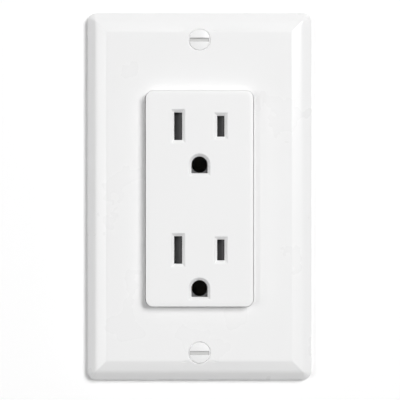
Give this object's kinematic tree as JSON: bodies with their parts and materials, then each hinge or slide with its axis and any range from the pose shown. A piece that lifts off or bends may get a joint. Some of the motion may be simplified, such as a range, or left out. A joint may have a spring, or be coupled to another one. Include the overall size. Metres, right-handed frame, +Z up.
{
  "type": "wall outlet",
  "caption": "Duplex wall outlet: a decorator-style grounded receptacle with shuttered slots, clamp terminals and steel strap, under a screwed bevelled wall plate.",
  "frame": {"origin": "centre of the wall plate in the plane of the wall, where the plate's rim lies", "axes": "+Y into the wall, -Y out towards the room, +Z up, +X to the right of someone who faces the outlet (the short slots' side)"},
  "size_m": [0.0698, 0.0324, 0.1142],
  "materials": {
    "wall_plate": "white moulded thermoplastic, satin gloss",
    "receptacle_face": "white moulded thermoplastic, satin gloss",
    "back_body": "dark grey moulded nylon, fine matte",
    "mounting_strap": "zinc-plated steel",
    "ground_rivets": "zinc-plated steel",
    "hot_contact_strip": "bare brass strip",
    "neutral_contact_strip": "nickel-plated brass strip",
    "assembly_screws": "zinc-plated steel",
    "plate_screw_upper": "steel screw with a white painted head",
    "mounting_screw_upper": "zinc-plated steel",
    "retaining_washer_upper": "pressed fibre",
    "ground_contact_upper": "bare brass strip",
    "shutter_slider_upper": "dark grey moulded acetal",
    "shutter_carrier_upper": "dark grey moulded nylon",
    "shutter_spring_upper": "spring wire",
    "hot_clamp_plate_upper": "bare brass plate",
    "hot_terminal_screw_upper": "brass-plated screw",
    "neutral_clamp_plate_upper": "nickel-plated plate",
    "neutral_terminal_screw_upper": "nickel-plated screw",
    "plate_screw_lower": "steel screw with a white painted head",
    "mounting_screw_lower": "zinc-plated steel",
    "retaining_washer_lower": "pressed fibre",
    "ground_contact_lower": "bare brass strip",
    "shutter_slider_lower": "dark grey moulded acetal",
    "shutter_carrier_lower": "dark grey moulded nylon",
    "shutter_spring_lower": "spring wire",
    "hot_clamp_plate_lower": "bare brass plate",
    "hot_terminal_screw_lower": "brass-plated screw",
    "neutral_clamp_plate_lower": "nickel-plated plate",
    "neutral_terminal_screw_lower": "nickel-plated screw",
    "ground_clamp_plate": "zinc-plated steel",
    "ground_terminal_screw": "green-dyed plated screw"
  },
  "bodies": {
    "device": {"wall_plate": "wall_plate", "receptacle_face": "receptacle_face", "back_body": "back_body", "mounting_strap": "mounting_strap", "ground_rivets": "ground_rivets", "hot_contact_strip": "hot_contact_strip", "neutral_contact_strip": "neutral_contact_strip", "assembly_screws": "assembly_screws", "retaining_washer_upper": "retaining_washer_upper", "ground_contact_upper": "ground_contact_upper", "shutter_carrier_upper": "shutter_carrier_upper", "shutter_spring_upper": "shutter_spring_upper", "retaining_washer_lower": "retaining_washer_lower", "ground_contact_lower": "ground_contact_lower", "shutter_carrier_lower": "shutter_carrier_lower", "shutter_spring_lower": "shutter_spring_lower"},
    "shutter_slider_upper": {"shutter_slider_upper": "shutter_slider_upper"},
    "plate_screw_upper": {"plate_screw_upper": "plate_screw_upper"},
    "mounting_screw_upper": {"mounting_screw_upper": "mounting_screw_upper"},
    "shutter_slider_lower": {"shutter_slider_lower": "shutter_slider_lower"},
    "plate_screw_lower": {"plate_screw_lower": "plate_screw_lower"},
    "mounting_screw_lower": {"mounting_screw_lower": "mounting_screw_lower"},
    "hot_clamp_plate_upper": {"hot_clamp_plate_upper": "hot_clamp_plate_upper"},
    "hot_terminal_screw_upper": {"hot_terminal_screw_upper": "hot_terminal_screw_upper"},
    "hot_clamp_plate_lower": {"hot_clamp_plate_lower": "hot_clamp_plate_lower"},
    "hot_terminal_screw_lower": {"hot_terminal_screw_lower": "hot_terminal_screw_lower"},
    "neutral_clamp_plate_upper": {"neutral_clamp_plate_upper": "neutral_clamp_plate_upper"},
    "neutral_terminal_screw_upper": {"neutral_terminal_screw_upper": "neutral_terminal_screw_upper"},
    "neutral_clamp_plate_lower": {"neutral_clamp_plate_lower": "neutral_clamp_plate_lower"},
    "neutral_terminal_screw_lower": {"neutral_terminal_screw_lower": "neutral_terminal_screw_lower"},
    "ground_clamp_plate": {"ground_clamp_plate": "ground_clamp_plate"},
    "ground_terminal_screw": {"ground_terminal_screw": "ground_terminal_screw"}
  },
  "joints": [
    {"name": "shutter_slide_upper", "type": "slide", "parent": "device", "child": "shutter_slider_upper", "axis": [1, 0, 0], "range_m": [0, 0.0032], "stiffness_N_per_m": 150, "springref_m": -0.001, "deforming": ["shutter_spring_upper"]},
    {"name": "plate_screw_turn_upper", "type": "hinge", "parent": "device", "child": "plate_screw_upper", "pos_m": [0, 0, 0.04842], "axis": [0, -1, 0], "range_deg": [0, 3855]},
    {"name": "mounting_screw_turn_upper", "type": "hinge", "parent": "device", "child": "mounting_screw_upper", "pos_m": [0, 0, 0.04167], "axis": [0, -1, 0], "continuous": true},
    {"name": "shutter_slide_lower", "type": "slide", "parent": "device", "child": "shutter_slider_lower", "axis": [1, 0, 0], "range_m": [0, 0.0032], "stiffness_N_per_m": 150, "springref_m": -0.001, "deforming": ["shutter_spring_lower"]},
    {"name": "plate_screw_turn_lower", "type": "hinge", "parent": "device", "child": "plate_screw_lower", "pos_m": [0, 0, -0.04842], "axis": [0, -1, 0], "range_deg": [0, 3855]},
    {"name": "mounting_screw_turn_lower", "type": "hinge", "parent": "device", "child": "mounting_screw_lower", "pos_m": [0, 0, -0.04167], "axis": [0, -1, 0], "continuous": true},
    {"name": "hot_clamp_slide_upper", "type": "slide", "parent": "device", "child": "hot_clamp_plate_upper", "axis": [1, 0, 0], "range_m": [0, 0.00238]},
    {"name": "hot_terminal_turn_upper", "type": "hinge", "parent": "hot_clamp_plate_upper", "child": "hot_terminal_screw_upper", "pos_m": [0, 0.0064, 0.00875], "axis": [1, 0, 0], "range_deg": [0, 1080]},
    {"name": "hot_clamp_slide_lower", "type": "slide", "parent": "device", "child": "hot_clamp_plate_lower", "axis": [1, 0, 0], "range_m": [0, 0.00238]},
    {"name": "hot_terminal_turn_lower", "type": "hinge", "parent": "hot_clamp_plate_lower", "child": "hot_terminal_screw_lower", "pos_m": [0, 0.0064, -0.01025], "axis": [1, 0, 0], "range_deg": [0, 1080]},
    {"name": "neutral_clamp_slide_upper", "type": "slide", "parent": "device", "child": "neutral_clamp_plate_upper", "axis": [-1, 0, 0], "range_m": [0, 0.00238]},
    {"name": "neutral_terminal_turn_upper", "type": "hinge", "parent": "neutral_clamp_plate_upper", "child": "neutral_terminal_screw_upper", "pos_m": [0, 0.0064, 0.00875], "axis": [-1, 0, 0], "range_deg": [0, 1080]},
    {"name": "neutral_clamp_slide_lower", "type": "slide", "parent": "device", "child": "neutral_clamp_plate_lower", "axis": [-1, 0, 0], "range_m": [0, 0.00238]},
    {"name": "neutral_terminal_turn_lower", "type": "hinge", "parent": "neutral_clamp_plate_lower", "child": "neutral_terminal_screw_lower", "pos_m": [0, 0.0064, -0.01025], "axis": [-1, 0, 0], "range_deg": [0, 1080]},
    {"name": "ground_clamp_slide", "type": "slide", "parent": "device", "child": "ground_clamp_plate", "axis": [-1, 0, 0], "range_m": [0, 0.00238]},
    {"name": "ground_terminal_turn", "type": "hinge", "parent": "ground_clamp_plate", "child": "ground_terminal_screw", "pos_m": [0, 0.0064, -0.02575], "axis": [-1, 0, 0], "range_deg": [0, 1080]}
  ],
  "couplings": [
    {"joint": "hot_terminal_turn_upper", "follows": "hot_clamp_slide_upper", "rad_per_m": 7915.8},
    {"joint": "hot_terminal_turn_lower", "follows": "hot_clamp_slide_lower", "rad_per_m": 7915.8},
    {"joint": "neutral_terminal_turn_upper", "follows": "neutral_clamp_slide_upper", "rad_per_m": 7915.8},
    {"joint": "neutral_terminal_turn_lower", "follows": "neutral_clamp_slide_lower", "rad_per_m": 7915.8},
    {"joint": "ground_terminal_turn", "follows": "ground_clamp_slide", "rad_per_m": 7915.8}
  ]
}
